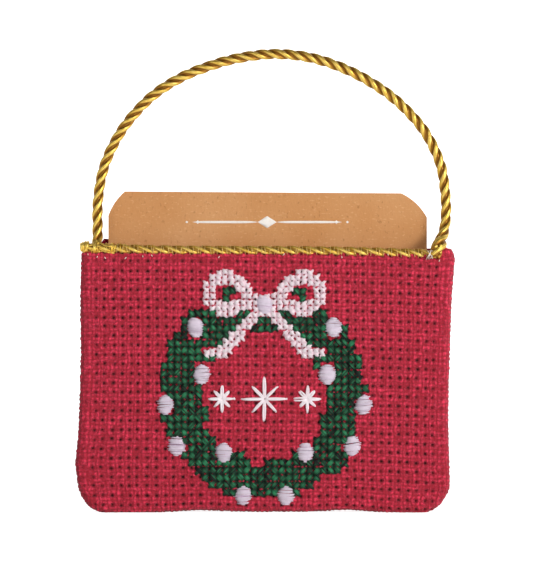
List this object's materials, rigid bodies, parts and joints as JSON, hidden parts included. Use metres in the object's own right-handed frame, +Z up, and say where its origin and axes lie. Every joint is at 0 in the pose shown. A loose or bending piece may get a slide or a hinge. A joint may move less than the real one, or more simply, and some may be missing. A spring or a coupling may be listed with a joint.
{
  "type": "gift card holder",
  "caption": "Small upright sewn pouch with a stitched wreath front, velvet back, twisted cord handle and mouth trim, and a kraft card that lifts out of its pocket.",
  "frame": {"origin": "on the surface the pouch stands on, in the middle of its width and of its depth", "axes": "+X along the width to the right as seen from the front, +Y towards the velvet back, +Z up"},
  "size_m": [0.102, 0.0116, 0.1261],
  "materials": {
    "red_cloth": "even-weave cotton cloth with visible holes",
    "white_backing": "thin non-woven backing",
    "dark_red_velvet": "short-pile velvet",
    "dark_red_lining": "plain thin lining",
    "gold_cord": "twisted three-strand cord with a silky metallic lustre",
    "kraft_board": "uncoated kraft board with fibre flecks",
    "green_thread": "stranded embroidery thread",
    "white_thread": "stranded embroidery thread"
  },
  "bodies": {
    "pouch": {"front_panel": "red_cloth", "front_interfacing": "white_backing", "back_panel": "dark_red_velvet", "front_lining": "dark_red_lining", "back_lining": "dark_red_lining", "mouth_trim_cord": "gold_cord", "handle_end_left": "gold_cord", "handle_end_right": "gold_cord", "wreath_stitching": "green_thread", "bow_stitching": "white_thread", "berry_stitching": "white_thread", "star_stitching": "white_thread"},
    "handle": {"handle_cord": "gold_cord"},
    "card": {"card_insert": "kraft_board"}
  },
  "joints": [
    {"name": "handle_swing", "type": "hinge", "parent": "pouch", "child": "handle", "pos_m": [0, -0.00065, 0.0758], "axis": [1, 0, 0], "range_deg": [-90, 90], "stiffness_Nm_per_rad": 0.004},
    {"name": "card_slide", "type": "slide", "parent": "pouch", "child": "card", "axis": [0, 0, 1], "range_m": [0, 0.0725]}
  ]
}
